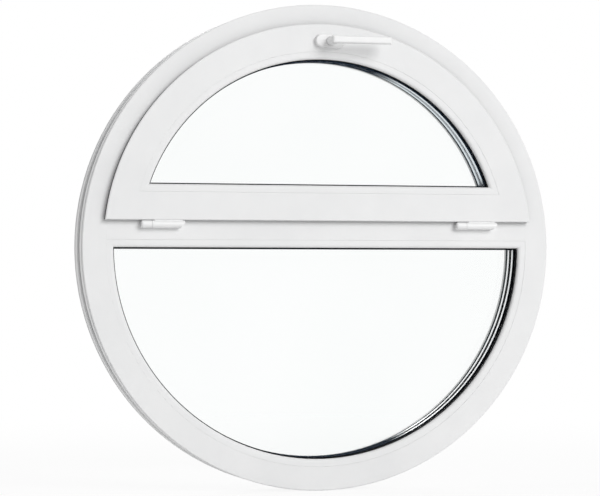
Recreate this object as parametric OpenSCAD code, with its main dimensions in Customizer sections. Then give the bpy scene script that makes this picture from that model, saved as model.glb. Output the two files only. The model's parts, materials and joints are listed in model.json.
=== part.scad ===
// Round window with a fixed half-round light below a transom and a bottom-hung half-round sash above it.
// X runs right, Z runs up and the room is on the -Y side. The origin is the centre of the frame.

/* [Frame] */
// Outside diameter of the round frame
frame_d = 1000; // [900:10:1400]
// Depth of the frame from the room side to the weather side
frame_depth = 82; // [68:1:96]
// Width of the frame's face on the room side
frame_face_w = 49; // [46:1:60]
// Height of the stop that the glass and the sash close against
stop_h = 18; // [17:0.5:21]
// Thickness of that stop
stop_t = 12; // [11:0.5:14]
// Slope across the nose of the stop
stop_nose = 4; // [2:0.5:6]
// Small bevel on outside edges
edge_bevel = 1.5; // [0.5:0.25:2]
// Width of the clip groove around the rim
rim_groove_w = 26; // [20:1:30]
// Undercut of that groove on each side
rim_groove_undercut = 3; // [2:0.5:5]
// Depth of the groove's mouth
rim_groove_mouth = 3; // [2:0.5:4]
// Whole depth of the groove
rim_groove_h = 6; // [5:0.5:8]
// Width of the narrow key lines beside the groove
rim_line_w = 7; // [5:0.5:7.5]
// Depth of the key lines
rim_line_h = 4; // [2:0.5:5]
// Distance of a key line from the face beside it
rim_line_inset = 6.5; // [6:0.5:10]

/* [Transom] */
// Height of the transom's lower edge above the centre
transom_z = 15; // [-20:1:30]
// Height of the transom's face
transom_face_h = 47.5; // [46:0.5:56]
// Width of the chamber for the steel, along the depth
chamber_w = 34; // [30:1:36]
// Height of that chamber
chamber_h = 30; // [26:1:34]
// Depth of the chamber behind the room face
chamber_inset = 23; // [22:1:26]
// Wall of the steel tube
steel_t = 1.75; // [1.5:0.25:2.5]
// Length of a connector at each end
connector_len = 45; // [35:1:60]
// Diameter of a connector screw
transom_screw_d = 6; // [5:0.5:8]
// Diameter of its head
transom_screw_head_d = 12; // [10:0.5:14]
// Thickness of its head
transom_screw_head_t = 3; // [2:0.5:4]
// Depth of the flat that the head sits on
screw_flat_h = 1.5; // [1:0.25:2]
// Grip of the screw in the connector
transom_screw_grip = 28; // [20:1:32]

/* [Drainage] */
// Width of a drain slot
drain_w = 26; // [20:1:32]
// Height of a drain slot
drain_h = 4; // [3:0.5:5]
// Angle of each drain from the lowest point
drain_angle = 14; // [8:1:24]
// Width of the cap over a drain
drain_cap_w = 38; // [36:1:46]
// Height of the cap
drain_cap_h = 13; // [11:0.5:15]
// Thickness of the cap
drain_cap_t = 5; // [4:0.5:7]
// Wall of the cap
drain_cap_wall = 1.5; // [1:0.25:2]

/* [Sash] */
// How far the sash stands in front of the frame's face
sash_proud = 15; // [13:0.5:18]
// How far the sash laps over the frame
sash_overlap = 8; // [7:0.5:9]
// Air gap around the sash for the hardware
sash_gap = 12; // [12:0.25:13]
// Width of the sash's face without the bead
sash_face_w = 57; // [55:1:64]
// Gap behind the lap
overlap_gap = 5; // [4.5:0.25:5.5]
// Gap between the sash and the frame's stop
stop_gap = 5; // [4.5:0.25:6]
// Thickness of the lap at its edge, in front of its seal
lap_edge_t = 4.5; // [4:0.25:6]
// Bevel around the sash's front edge
sash_front_bevel = 1.5; // [1:0.25:4]
// Bevel on the sash's back edge
sash_back_bevel = 3; // [2:0.5:4]
// Distance from the lap to the middle of the hardware groove
groove_axis = 14; // [13.5:0.25:14.5]
// Width of the groove's outer step
groove_w = 16; // [15.5:0.25:17]
// Depth of the outer step
groove_step_h = 3; // [2.75:0.25:3.5]
// Width of the groove's inner channel
channel_w = 11; // [10.5:0.25:11.5]
// Depth of the channel below the step
channel_h = 6; // [5.5:0.25:7]

/* [Glazing] */
// Thickness of a pane
pane_t = 4; // [3:0.5:5]
// Depth of the sash's bead from its face to the glass
bead_depth = 14; // [13:0.5:18]
// Thickness of the gasket on the weather side
glazing_gasket_t = 4; // [3:0.25:5]
// Space between the glass edge and the rebate
edge_clear = 5; // [4:0.5:6]
// Bevelled shoulder on each side of a spacer bar
spacer_shoulder = 4.8; // [2:0.1:5.5]
// Height of a spacer bar
spacer_h = 7; // [6:0.5:8]
// Height of the seal behind the spacer
seal_h = 6.5; // [5:0.5:7]
// Film of seal between spacer and pane
seal_film = 0.3; // [0.25:0.05:0.5]
// How far the seal stays below the spacer's face
seal_recess = 0.4; // [0.3:0.1:0.8]
// Width of a glazing bead
bead_w = 15.5; // [14.5:0.5:17]
// Flat part of the bead's face
bead_flat_w = 9; // [8:0.5:11]
// Depth over which the bead rounds over
bead_round_h = 5; // [3:0.5:6]
// Depth of the bead's front lip
bead_lip_t = 8; // [7:0.5:9]
// Width of the bead's foot behind the lip
bead_foot_w = 7; // [6:0.5:8]
// Space between the foot and the glass
bead_foot_gap = 1; // [0.5:0.25:2]
// How far the bead's face lies behind the frame's face
bead_recess = 0.4; // [0.2:0.1:1]
// How far the bead's gasket stands out past its nose
bead_gasket_out = 2; // [0.5:0.25:3]
// Taper of that gasket towards the glass
bead_gasket_taper = 1; // [0.5:0.25:2]
// Width of the gasket on the weather side
outer_gasket_w = 8; // [6:0.5:10]
// Length of a setting block
block_len = 80; // [60:5:100]
// Distance of a straight block from the corner of the sash's rebate
block_inset = 156; // [120:1:200]
// Angle of a curved block from the lowest point
block_angle = 24; // [18:1:32]

/* [Seals] */
// Gap between a closing seal and the face that it closes against
seal_clear = 0.4; // [0.3:0.1:0.8]
// Width of the seal on the frame's stop
stop_seal_w = 4; // [3:0.5:5]
// How far it stays behind the stop's edge
stop_seal_inset = 0.8; // [0.5:0.1:1.5]
// Width of the seal behind the sash's lap
lap_seal_w = 4.5; // [3.5:0.5:5]
// How far it stays behind the lap's edge
lap_seal_inset = 0.5; // [0.25:0.25:1.5]

/* [Hinges] */
// Distance of a hinge's middle from the corner of the sash
hinge_inset = 119; // [110:1:180]
// Diameter of a knuckle
knuckle_d = 16; // [15:0.25:17.5]
// Length of the frame's knuckle
frame_knuckle_len = 22; // [20:1:26]
// Length of the sash's knuckle
sash_knuckle_len = 68; // [60:1:76]
// Gap between the two knuckles
knuckle_gap = 0.6; // [0.4:0.1:1]
// Gap between a knuckle and the transom's face
knuckle_standoff = 0.8; // [0.6:0.1:1.2]
// Gap between a knuckle and the sash's edge
knuckle_drop = 0.7; // [0.5:0.1:1]
// Rounding at the outer end of the frame's knuckle
knuckle_dome = 4; // [2:0.5:5]
// Rounding at the outer end of the sash's knuckle
knuckle_round = 1.5; // [0.5:0.25:3]
// Length of the slanted cut under the outer end of the sash's knuckle
knuckle_cut_len = 9.5; // [6:0.5:10]
// Height of that cut
knuckle_cut_h = 11.5; // [8:0.5:13]
// Closed wall at a knuckle's outer end
knuckle_cap_t = 9; // [8.5:0.5:11]
// Diameter of the hinge pin
hinge_pin_d = 8; // [7:0.25:8.5]
// Diameter of the bolt into the transom
hinge_bolt_d = 8; // [6:0.5:9]
// Length of that bolt inside the transom
hinge_bolt_len = 18; // [14:1:20]
// Thickness of the neck between knuckle and sash
hinge_neck_t = 8; // [6:0.5:9]
// How far the neck stays inside the knuckle's ends
hinge_neck_inset = 5; // [3:0.5:8]
// Diameter of a stud into the sash
hinge_stud_d = 5; // [4:0.25:5.5]
// Length of a stud inside the sash
hinge_stud_len = 25; // [18:1:30]
// Distance of a stud from the middle of its knuckle
hinge_stud_x = 20; // [14:1:22]

/* [Handle] */
// Angle of the handle along the arch from the top
handle_angle = 1.75; // [0:0.25:4]
// Distance of the spindle from the sash's edge
backset = 15; // [14.5:0.25:15.5]
// Length of the rosette
rosette_len = 63; // [62:1:70]
// Width of the rosette
rosette_w = 28; // [28:0.5:32]
// Height of the rosette
rosette_t = 10; // [9:0.5:12]
// Wall of the rosette's cover
rosette_wall = 1.8; // [1.5:0.1:2.2]
// Rounding of the rosette's edge
rosette_round = 3; // [1.5:0.25:3.5]
// Thickness of the base plate under the cover
base_t = 5; // [4.5:0.25:6]
// Distance of a fixing screw from the spindle
fixing_x = 21.5; // [21:0.25:22]
// Diameter of a fixing screw
fixing_d = 5; // [4:0.25:5.5]
// Diameter of its head
fixing_head_d = 9; // [8:0.25:9.5]
// Height of its head
fixing_head_h = 2.5; // [2:0.25:3]
// Diameter of the lever's neck
neck_d = 18; // [16:0.5:19]
// Diameter of the neck's journal in the base plate
journal_d = 12; // [11.5:0.25:13]
// Gap between the neck's shoulder and the base plate
neck_gap = 0.4; // [0.3:0.1:0.6]
// Length of the lever from the spindle to its tip
lever_len = 119; // [100:1:140]
// Width of the lever at the neck
lever_w = 15.5; // [14:0.5:20]
// Width of the lever at its tip
lever_tip_w = 14.5; // [13:0.5:18]
// Thickness of the lever
lever_t = 13; // [12:0.5:16]
// Rounding of the lever's edges
lever_round = 4; // [2:0.5:5]
// Gap between the lever and the sash's face
lever_standoff = 38; // [32:1:48]
// Side of the square spindle
spindle_w = 7; // [6.5:0.25:7.5]
// Depth of the spindle inside the lever
spindle_grip = 30; // [22:1:32]
// Diameter of the hole for the neck's journal in the sash
spindle_hole_d = 13; // [12.5:0.25:14]

/* [Lock] */
// Pitch diameter of the pinion
pinion_d = 18; // [18:0.1:18.5]
// Teeth of the pinion
pinion_teeth = 18; // [18:1:18]
// Pressure angle of the teeth
pressure_angle = 20; // [18:1:24]
// Play on each side of a tooth
tooth_play = 0.12; // [0.1:0.01:0.16]
// Width of the pinion
pinion_w = 9; // [8:0.5:9.5]
// Space around the pinion's teeth
pinion_clear = 0.8; // [0.5:0.1:1]
// Diameter of the pinion's journals
pinion_journal_d = 14; // [13.5:0.25:14.5]
// Half length of the gearbox
gearbox_half_len = 42; // [36:1:42]
// Depth of the gearbox below the spindle
gearbox_below = 13.5; // [13:0.25:14]
// Height of the gearbox above the spindle
gearbox_above = 3.6; // [3:0.25:3.75]
// Thickness of the gearbox's cover
gearbox_cover_t = 2.8; // [2.5:0.1:3]
// Width of the drive rod
rod_w = 10; // [9.5:0.25:10]
// Wall of the rod outside its teeth
rod_back_t = 1.5; // [1.25:0.25:1.5]
// Angle of the rod's ends from the top
rod_half_angle = 44; // [42:1:48]
// Angle of the faceplate's ends from the top
faceplate_half_angle = 47; // [46:1:52]
// Gap between rod and faceplate
faceplate_gap = 0.6; // [0.5:0.1:0.7]
// Thickness of the faceplate
faceplate_t = 2.2; // [1.75:0.05:2.2]
// Angle of each locking cam from the top
cam_angle = 36; // [24:1:38]
// Diameter of a cam's rivet
cam_rivet_d = 5; // [4:0.25:5.5]
// Diameter of a cam's stem
cam_stem_d = 7.4; // [6.5:0.1:7.5]
// Diameter of a cam's head
cam_head_d = 11; // [10:0.25:11]
// Thickness of a cam's head
cam_head_t = 2.6; // [2:0.1:2.75]
// Gap between a cam's head and the rebate
cam_top_gap = 1.2; // [1:0.1:1.3]
// Space around a cam's stem in its slot
cam_slot_play = 0.8; // [0.6:0.1:1]
// How far a keep's lip stands into the air gap
keep_lip_h = 4.2; // [4:0.1:4.3]
// Thickness of a keep's lip
keep_lip_t = 2.3; // [2:0.1:2.4]
// Play between a cam and its keep
keep_play = 0.6; // [0.5:0.1:0.8]
// Thickness of a keep's plate
keep_plate_t = 1.9; // [1.5:0.1:2.5]
// Width of a keep's plate
keep_plate_w = 19; // [16:0.5:22]
// Angle over which a keep's plate reaches before the cam's open position
keep_before = 1.2; // [1:0.1:2]
// Angle over which a keep's plate reaches behind the open position
keep_after = 3.7; // [3.5:0.1:5]
// Angle between the open cam and the start of the lip
lip_start = 0.98; // [0.95:0.01:1.05]
// Angle between the open cam and the end of the lip
lip_end = 3.4; // [3:0.1:3.5]
// Quarter turn of the handle between open and locked
handle_turn = 90; // [90:1:90]

/* [Stay] */
// Angle over which the sash tilts
tilt_angle = 25; // [15:1:25]
// Angle over which a stay's arm turns meanwhile
stay_turn = 42; // [40:1:44]
// Length of a stay's arm between its two pins
stay_len = 32; // [26:1:33]
// Width of the arm
stay_w = 9; // [8:0.5:10]
// Thickness of the arm
stay_t = 2.5; // [2:0.25:2.75]
// Gap between the arm and the sash
stay_gap = 1; // [0.75:0.05:1.25]
// Height of the arm's pivot above the transom
stay_pivot_h = 8.5; // [7:0.5:9]
// Diameter of the arm's pins
stay_pin_d = 5; // [4:0.25:5.5]
// How far the moving pin reaches past the slotted plate
stay_pin_tip = 2; // [1:0.25:2.25]
// Play of the moving pin in its slot
stay_play = 0.3; // [0.3:0.05:0.6]
// Thickness of the slotted plate in the sash's groove
stay_plate_t = 2.4; // [2:0.1:2.6]
// Length of that plate beyond the pin's travel at each end
stay_plate_end = 10; // [8:0.5:12]
// Width of the bracket on the frame
stay_bracket_w = 15; // [12:0.5:16]
// Height of the bracket
stay_bracket_h = 16; // [14:0.5:20]

/* [Fits] */
// Overrun of a cut past the piece it cuts
over = 1; // [0.5:0.5:2]
// Clearance between fixed pieces
fit = 0.2; // [0.1:0.05:0.3]
// Clearance between the transom's ends and the frame
joint_fit = 0.1; // [0.05:0.05:0.2]
// Radial clearance of a turning shaft
run_fit = 0.05; // [0.03:0.01:0.08]

/* [Hidden] */
$fn = 144;
// Step of the points along a rounding
arc_step = 15;

white = [0.93, 0.93, 0.92];
black = [0.08, 0.08, 0.08];
metal = [0.72, 0.73, 0.75];
clear = [0.8, 0.88, 0.9, 0.35];

frame_r = frame_d / 2;
y_room = -frame_depth / 2;
y_out = frame_depth / 2;
y_stop = y_out - stop_t;
floor_r = frame_r - frame_face_w;
stop_r = floor_r - stop_h;
transom_top = transom_z + transom_face_h;
transom_mid = transom_z + transom_face_h / 2;
chamber_y = y_room + chamber_inset + chamber_w / 2;

y_sash_room = y_room - sash_proud;
y_sash_out = y_stop - stop_gap;
y_lap = y_room - overlap_gap;
y_lap_edge = y_sash_room + lap_edge_t;
lap_step_c = lap_seal_inset + lap_seal_w;
flange_r = floor_r + sash_overlap;
flange_z = transom_top - sash_overlap;
sash_r = floor_r - sash_gap;
body_c = sash_overlap + sash_gap;
step_c = body_c + groove_step_h;
channel_c = step_c + channel_h;
groove_y = y_lap + groove_axis;

spacer_c = edge_clear + seal_h;
sight_c = spacer_c + spacer_h;
// A light is its rebate radius, rebate height, side of the edge, face depth and stop depth
lower = [floor_r, transom_z, -1, y_room, y_stop];
upper = [flange_r - sash_face_w, flange_z + sash_face_w, 1, y_sash_room, y_sash_out - stop_t];
unit_t = upper[4] - upper[3] - glazing_gasket_t - bead_depth;
cavity_w = (unit_t - 3 * pane_t) / 2;
function glass_in(l) = l[4] - glazing_gasket_t - unit_t;
function glass_out(l) = l[4] - glazing_gasket_t;

// Half width of the circle of radius r at height z
function side_x(r, z) = sqrt(r * r - z * z);
block_x = side_x(upper[0], upper[1]) - block_inset;

knuckle_r = knuckle_d / 2;
hinge_x = side_x(flange_r, flange_z) - hinge_inset;
hinge_y = y_room - knuckle_standoff - knuckle_r;
hinge_z = flange_z - knuckle_drop - knuckle_r;
hinge_len = frame_knuckle_len + knuckle_gap + sash_knuckle_len;
pin_bore_r = hinge_pin_d / 2 + run_fit;
function hinge_start(side) = side * hinge_x - hinge_len / 2;
function sash_knuckle_start(side) = hinge_start(side) + frame_knuckle_len + knuckle_gap;

spindle_r = sash_r - backset;
gear_module = pinion_d / pinion_teeth;
pinion_r = pinion_d / 2;
rack_r = spindle_r + pinion_r;
rod_inner_r = rack_r - gear_module;
root_depth_share = 1.25;
rod_outer_r = rack_r + root_depth_share * gear_module + rod_back_t;
plate_inner_r = rod_outer_r + faceplate_gap;
pinion_out_r = pinion_r + gear_module;
pinion_root_r = pinion_r - root_depth_share * gear_module;
pinion_base_r = pinion_r * cos(pressure_angle);
rack_pitch_angle = 180 * gear_module / rack_r;
rod_turn = handle_turn * pinion_r / rack_r;
gearbox_half_w = groove_w / 2 - fit;
cover_y = groove_y + gearbox_half_w - gearbox_cover_t;
cam_top_r = floor_r - cam_top_gap;
keep_y = groove_y - cam_head_d / 2 - keep_play - keep_lip_t;

y_base = y_sash_room - base_t;
y_rosette = y_sash_room - rosette_t;
y_lever = y_sash_room - lever_standoff;

stay_pivot_z = transom_top + stay_pivot_h;
stay_pin_z = stay_pivot_z + stay_len;
stay_in_x = side_x(sash_r, flange_z + body_c) + stay_gap;
stay_out_x = stay_in_x + stay_t;
stay_plate_r = flange_r - step_c;
// Place of the arm's moving pin in depth and height, as the closed sash sees it
function stay_arm_end(a) = [groove_y - stay_len * sin(a), stay_pivot_z + stay_len * cos(a)];
function on_closed_sash(p, a) = let (y = p[0] - hinge_y, z = p[1] - hinge_z)
    [hinge_y + y * cos(a) + z * sin(a), hinge_z + z * cos(a) - y * sin(a)];
function stay_path(share) = on_closed_sash(stay_arm_end(share * stay_turn), share * tilt_angle);

// Profile of the outer frame as radius and depth
function rim_line(y) = [
    [frame_r, y - rim_line_w / 2], [frame_r - rim_line_h, y - rim_line_w / 2],
    [frame_r - rim_line_h, y + rim_line_w / 2], [frame_r, y + rim_line_w / 2]
];
groove_half = rim_groove_w / 2;
groove_wide = groove_half + rim_groove_undercut;
frame_profile = concat(
    [[floor_r, y_room], [frame_r - edge_bevel, y_room], [frame_r, y_room + edge_bevel]],
    rim_line(y_room + rim_line_inset),
    [
        [frame_r, -groove_half], [frame_r - rim_groove_mouth, -groove_half],
        [frame_r - rim_groove_mouth, -groove_wide], [frame_r - rim_groove_h, -groove_wide],
        [frame_r - rim_groove_h, groove_wide], [frame_r - rim_groove_mouth, groove_wide],
        [frame_r - rim_groove_mouth, groove_half], [frame_r, groove_half]
    ],
    rim_line(y_out - rim_line_inset),
    [
        [frame_r, y_out - edge_bevel], [frame_r - edge_bevel, y_out], [stop_r + stop_nose, y_out],
        [stop_r, y_out - stop_nose], [stop_r, y_stop], [floor_r, y_stop]
    ]
);

// Profile of the transom as depth and height
transom_profile = [
    [y_room, transom_z], [y_room, transom_top], [y_stop, transom_top],
    [y_stop, transom_top + stop_h], [y_out - stop_nose, transom_top + stop_h],
    [y_out, transom_top + stop_h - stop_nose], [y_out, transom_z - stop_h + stop_nose],
    [y_out - stop_nose, transom_z - stop_h], [y_stop, transom_z - stop_h], [y_stop, transom_z]
];

// Outline of the sash as inset from the lap's edge and depth
sash_outside = [
    [sash_front_bevel, y_sash_room], [0, y_sash_room + sash_front_bevel], [0, y_lap_edge],
    [lap_step_c, y_lap_edge], [lap_step_c, y_lap], [body_c, y_lap],
    [body_c, groove_y - groove_w / 2], [step_c, groove_y - groove_w / 2],
    [step_c, groove_y - channel_w / 2], [channel_c, groove_y - channel_w / 2],
    [channel_c, groove_y + channel_w / 2], [step_c, groove_y + channel_w / 2],
    [step_c, groove_y + groove_w / 2], [body_c, groove_y + groove_w / 2],
    [body_c, y_sash_out - sash_back_bevel], [body_c + sash_back_bevel, y_sash_out]
];
sash_stop_c = sash_face_w + stop_h;
sash_inside = [
    [sash_face_w, y_sash_room - over], [sash_face_w, upper[4]], [sash_stop_c, upper[4]],
    [sash_stop_c, y_sash_out - stop_nose], [sash_stop_c - stop_nose, y_sash_out],
    [sash_stop_c - stop_nose, y_sash_out + over]
];

// Turns a profile of radius and depth about the window's axis
module turned(points) {
    rotate([-90, 0, 0]) rotate_extrude() polygon(points);
}

// Turns a profile over part of the circle, with angles counted from the top towards +X
module turned_sector(points, from, to) {
    rotate([-90, 0, 0]) rotate([0, 0, from - 90]) rotate_extrude(angle = to - from) polygon(points);
}

// Draws a profile of depth and height along X
module along_x(points, length) {
    rotate([90, 0, 90]) linear_extrude(height = length, center = true) polygon(points);
}

// A cylinder along Y between two depths
module along_y(r, from, to) {
    translate([0, from, 0]) rotate([-90, 0, 0]) cylinder(r = r, h = to - from);
}

// A cylinder along X between two places
module bar_x(r, from, to) {
    translate([from, 0, 0]) rotate([0, 90, 0]) cylinder(r = r, h = to - from);
}

// A box between two corners
module box(a, b) {
    translate(a) cube(b - a);
}

// Half-round solid that lies at least the profile's inset inside the arch and the straight edge
module d_solid(profile, l) {
    first = profile[0][1];
    last = profile[len(profile) - 1][1];
    far = l[2] * (l[0] + over);
    intersection() {
        turned(concat([[0, first]], [for (p = profile) [l[0] - p[0], p[1]]], [[0, last]]));
        along_x(
            concat([for (p = profile) [p[1], l[1] + l[2] * p[0]]], [[last, far], [first, far]]),
            2 * (l[0] + over)
        );
    }
}

// Half-round ring of constant width between two depths
module d_ring(out_c, in_c, from, to, l) {
    difference() {
        d_solid([[out_c, from], [out_c, to]], l);
        d_solid([[in_c, from - over], [in_c, to + over]], l);
    }
}

// One pane of a unit, counted from the room
module pane(l, i) {
    y = glass_in(l) + i * (pane_t + cavity_w);
    d_solid([[edge_clear, y], [edge_clear, y + pane_t]], l);
}

// One spacer bar with bevelled shoulders
module spacer(l, i) {
    a = glass_in(l) + pane_t + i * (pane_t + cavity_w) + seal_film;
    b = a + cavity_w - 2 * seal_film;
    low_c = sight_c - spacer_shoulder;
    difference() {
        d_solid([[spacer_c, a], [spacer_c, b]], l);
        d_solid([
            [low_c, a - over], [low_c, a], [sight_c, a + spacer_shoulder], [sight_c, b - spacer_shoulder],
            [low_c, b], [low_c, b + over]
        ], l);
    }
}

// Seal between two panes around one spacer bar
module edge_seal(l, i) {
    y = glass_in(l) + pane_t + i * (pane_t + cavity_w);
    difference() {
        d_ring(edge_clear, sight_c - seal_recess, y, y + cavity_w, l);
        spacer(l, i);
    }
}

// Gasket between the glass and the stop
module outer_gasket(l) {
    d_ring(stop_h - outer_gasket_w, stop_h - stop_seal_inset, glass_out(l), l[4], l);
}

// Gasket between the glass and the bead
module bead_gasket(l) {
    from = l[3] + bead_recess + bead_lip_t;
    to = glass_in(l);
    nose = bead_w + bead_gasket_out;
    difference() {
        d_solid([[bead_foot_w + fit, from], [bead_foot_w + fit, to]], l);
        d_solid([
            [nose, from - over], [nose, from], [nose - bead_gasket_taper, to],
            [nose - bead_gasket_taper, to + over]
        ], l);
    }
}

// Section of a glazing bead as inset and depth
function bead_section(l) = let (
    face = l[3] + bead_recess, back = glass_in(l) - bead_foot_gap, round_w = bead_w - bead_flat_w
) concat(
    [[fit, face]],
    [for (t = [0:18:90]) [bead_flat_w + round_w * sin(t), face + bead_round_h * (1 - cos(t))]],
    [[bead_w, face + bead_lip_t], [bead_foot_w, face + bead_lip_t], [bead_foot_w, back], [fit, back]]
);

// Mitre between the two beads, from the rebate's corner to the bead's inner corner and past both
function mitre_point(l, c) = [sqrt(pow(l[0] - c, 2) - pow(l[1] + l[2] * c, 2)), l[1] + l[2] * c];
function mitre(l, share) = mitre_point(l, 0) + share * (mitre_point(l, bead_w) - mitre_point(l, 0));
mitre_in_share = 1.25;
mitre_out_share = -0.25;
mitre_far_share = -20;
function mirrored(p) = [-p[0], p[1]];

// Arched bead, cut at the mitres
module arch_bead(l) {
    near = mitre(l, mitre_in_share);
    far = mitre(l, mitre_far_share);
    end = [far[0], -l[2] * 2 * l[0]];
    difference() {
        turned([for (p = bead_section(l)) [l[0] - p[0], p[1]]]);
        slab([mirrored(near), near, far, end, mirrored(end), mirrored(far)], 0, 4 * frame_depth);
    }
}

// Straight bead, cut at the mitres
module straight_bead(l) {
    near = mitre(l, mitre_in_share);
    far = mitre(l, mitre_out_share);
    intersection() {
        along_x([for (p = bead_section(l)) [p[1], l[1] + l[2] * p[0]]], 2 * l[0]);
        slab([mirrored(near), near, far, mirrored(far)], 0, 4 * frame_depth);
    }
}

// Moves a piece from the origin to the handle's spindle
module at_spindle() {
    rotate([0, handle_angle, 0]) translate([0, 0, spindle_r]) children();
}

// The same with the lever level
module at_lever() {
    at_spindle() rotate([0, -handle_angle, 0]) children();
}

// Plate with round ends between two depths
module stadium(length, width, from, to) {
    translate([0, from, 0]) rotate([-90, 0, 0]) linear_extrude(height = to - from) {
        square([length - width, width], center = true);
        for (s = [-1, 1]) translate([s * (length - width) / 2, 0]) circle(d = width);
    }
}

// Plate with round ends and a rounded front edge, standing from one depth towards the room
module rounded_stadium(length, width, from, height, round) {
    edge = concat(
        [[0, 0], [width / 2, 0]],
        [for (t = [0:arc_step:90]) [width / 2 - round * (1 - cos(t)), height - round * (1 - sin(t))]],
        [[0, height]]
    );
    translate([0, from, 0]) rotate([90, 0, 0]) {
        for (s = [-1, 1]) translate([s * (length - width) / 2, 0, 0]) rotate_extrude() polygon(edge);
        rotate([90, 0, 90]) linear_extrude(height = length - width, center = true) {
            polygon(edge);
            mirror([1, 0]) polygon(edge);
        }
    }
}

// Outline of the pinion, with one tooth pointing up
function polar(r, a) = [r * cos(a), r * sin(a)];
involute_end = sqrt(pow(pinion_out_r / pinion_base_r, 2) - 1) * 180 / PI;
function involute_r(t) = pinion_base_r * sqrt(1 + pow(t * PI / 180, 2));
function involute_a(t) = t - atan(t * PI / 180);
tooth_half = 90 / pinion_teeth + involute_a(tan(pressure_angle) * 180 / PI)
    - tooth_play / pinion_r * 180 / PI;
flank_steps = [for (s = [0:0.25:1]) s * involute_end];
function tooth(a) = concat(
    [polar(pinion_root_r, a - tooth_half)],
    [for (t = flank_steps) polar(involute_r(t), a - tooth_half + involute_a(t))],
    [for (k = [len(flank_steps) - 1:-1:0])
        polar(involute_r(flank_steps[k]), a + tooth_half - involute_a(flank_steps[k]))],
    [polar(pinion_root_r, a + tooth_half)]
);
pinion_outline = [for (i = [0:pinion_teeth - 1], p = tooth(90 + i * 360 / pinion_teeth)) p];

// One space between two teeth of the rack, drawn from the window's centre
space_half = PI * gear_module / 4 + tooth_play;
space_in = -gear_module - over;
space_out = root_depth_share * gear_module;
rack_space = [
    [-space_half + space_in * tan(pressure_angle), rack_r + space_in],
    [space_half - space_in * tan(pressure_angle), rack_r + space_in],
    [space_half - space_out * tan(pressure_angle), rack_r + space_out],
    [-space_half + space_out * tan(pressure_angle), rack_r + space_out]
];

// Draws an outline in X and Z with a thickness along Y
module slab(points, y, thickness) {
    translate([0, y, 0]) rotate([90, 0, 0]) linear_extrude(height = thickness, center = true)
        polygon(points);
}

// Places children at each side's cam, turned by an extra angle
module at_cams(extra) {
    for (s = [-1, 1]) rotate([0, s * cam_angle + extra, 0]) children();
}

// Plate and lip of one keep
module keep(angle) {
    plate = [
        [floor_r, keep_y], [floor_r + keep_plate_t, keep_y],
        [floor_r + keep_plate_t, keep_y + keep_plate_w], [floor_r, keep_y + keep_plate_w]
    ];
    lip = [
        [floor_r - keep_lip_h, keep_y], [floor_r + keep_plate_t / 2, keep_y],
        [floor_r + keep_plate_t / 2, keep_y + keep_lip_t], [floor_r - keep_lip_h, keep_y + keep_lip_t]
    ];
    turned_sector(plate, angle - keep_before, angle + keep_after);
    turned_sector(lip, angle + lip_start, angle + lip_end);
}

// Pocket that a keep's plate is let into
module keep_pocket(angle) {
    y = keep_y - fit;
    w = keep_plate_w + 2 * fit;
    turned_sector([
        [floor_r - over, y], [floor_r + keep_plate_t + joint_fit, y],
        [floor_r + keep_plate_t + joint_fit, y + w], [floor_r - over, y + w]
    ], angle - keep_before - fit_angle, angle + keep_after + fit_angle);
}
fit_angle = fit / floor_r * 180 / PI;

// Frame knuckle of one hinge with its bolt
module frame_knuckle(side) {
    bolt_start = knuckle_r - knuckle_standoff - hinge_bolt_wall;
    translate([hinge_start(side), hinge_y, hinge_z]) {
        rotate([0, 90, 0]) rotate_extrude() polygon(concat(
            [[0, 0]],
            [for (t = [90:-arc_step:0])
                [knuckle_r - knuckle_dome * (1 - cos(t)), knuckle_dome * (1 - sin(t))]],
            [
                [knuckle_r, frame_knuckle_len], [pin_bore_r, frame_knuckle_len],
                [pin_bore_r, knuckle_cap_t], [0, knuckle_cap_t]
            ]
        ));
        translate([frame_knuckle_len / 2, 0, 0])
            along_y(hinge_bolt_d / 2, bolt_start, knuckle_r + knuckle_standoff + hinge_bolt_len);
    }
}
hinge_bolt_wall = (knuckle_r - pin_bore_r) / 2;

// Sash knuckle of one hinge with its neck and studs
module sash_knuckle(side) {
    root = pin_bore_r + hinge_bolt_wall;
    top = flange_z - hinge_z;
    cut_slope = knuckle_cut_h / knuckle_cut_len;
    translate([sash_knuckle_start(side), hinge_y, hinge_z]) {
        difference() {
            rotate([0, 90, 0]) rotate_extrude() polygon(concat(
                [[pin_bore_r, 0], [knuckle_r, 0]],
                [for (t = [0:arc_step:90]) [
                    knuckle_r - knuckle_round * (1 - cos(t)),
                    sash_knuckle_len - knuckle_round * (1 - sin(t))
                ]],
                [
                    [0, sash_knuckle_len], [0, sash_knuckle_len - knuckle_cap_t],
                    [pin_bore_r, sash_knuckle_len - knuckle_cap_t]
                ]
            ));
            translate([sash_knuckle_len, 0, -knuckle_r]) slab([
                [-knuckle_cut_len - over / cut_slope, -over], [over, -over],
                [over, knuckle_cut_h + over * cut_slope]
            ], 0, 2 * knuckle_d);
        }
        box([hinge_neck_inset, -hinge_neck_t / 2, root],
            [sash_knuckle_len - hinge_neck_inset, hinge_neck_t / 2, top]);
        for (s = [-1, 1]) translate([sash_knuckle_len / 2 + s * hinge_stud_x, 0, root])
            cylinder(d = hinge_stud_d, h = top - root + hinge_stud_len);
    }
}

// Pin of one hinge
module hinge_pin(side) {
    translate([hinge_start(side), hinge_y, hinge_z])
        bar_x(hinge_pin_d / 2, knuckle_cap_t + fit, hinge_len - knuckle_cap_t - fit);
}

// Slot that the stay's pin runs in, as depth and height
stay_slot_half = stay_pin_d / 2 + stay_play;
stay_shares = [0:0.125:1];
stay_slot = concat(
    [stay_path(0) + [-stay_slot_half, stay_slot_half]],
    [for (s = stay_shares) stay_path(s) - [stay_slot_half, 0]],
    [stay_path(1) - [stay_slot_half, stay_slot_half], stay_path(1) + [stay_slot_half, -stay_slot_half]],
    [for (s = stay_shares) stay_path(1 - s) + [stay_slot_half, 0]],
    [stay_path(0) + [stay_slot_half, stay_slot_half]]
);

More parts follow.
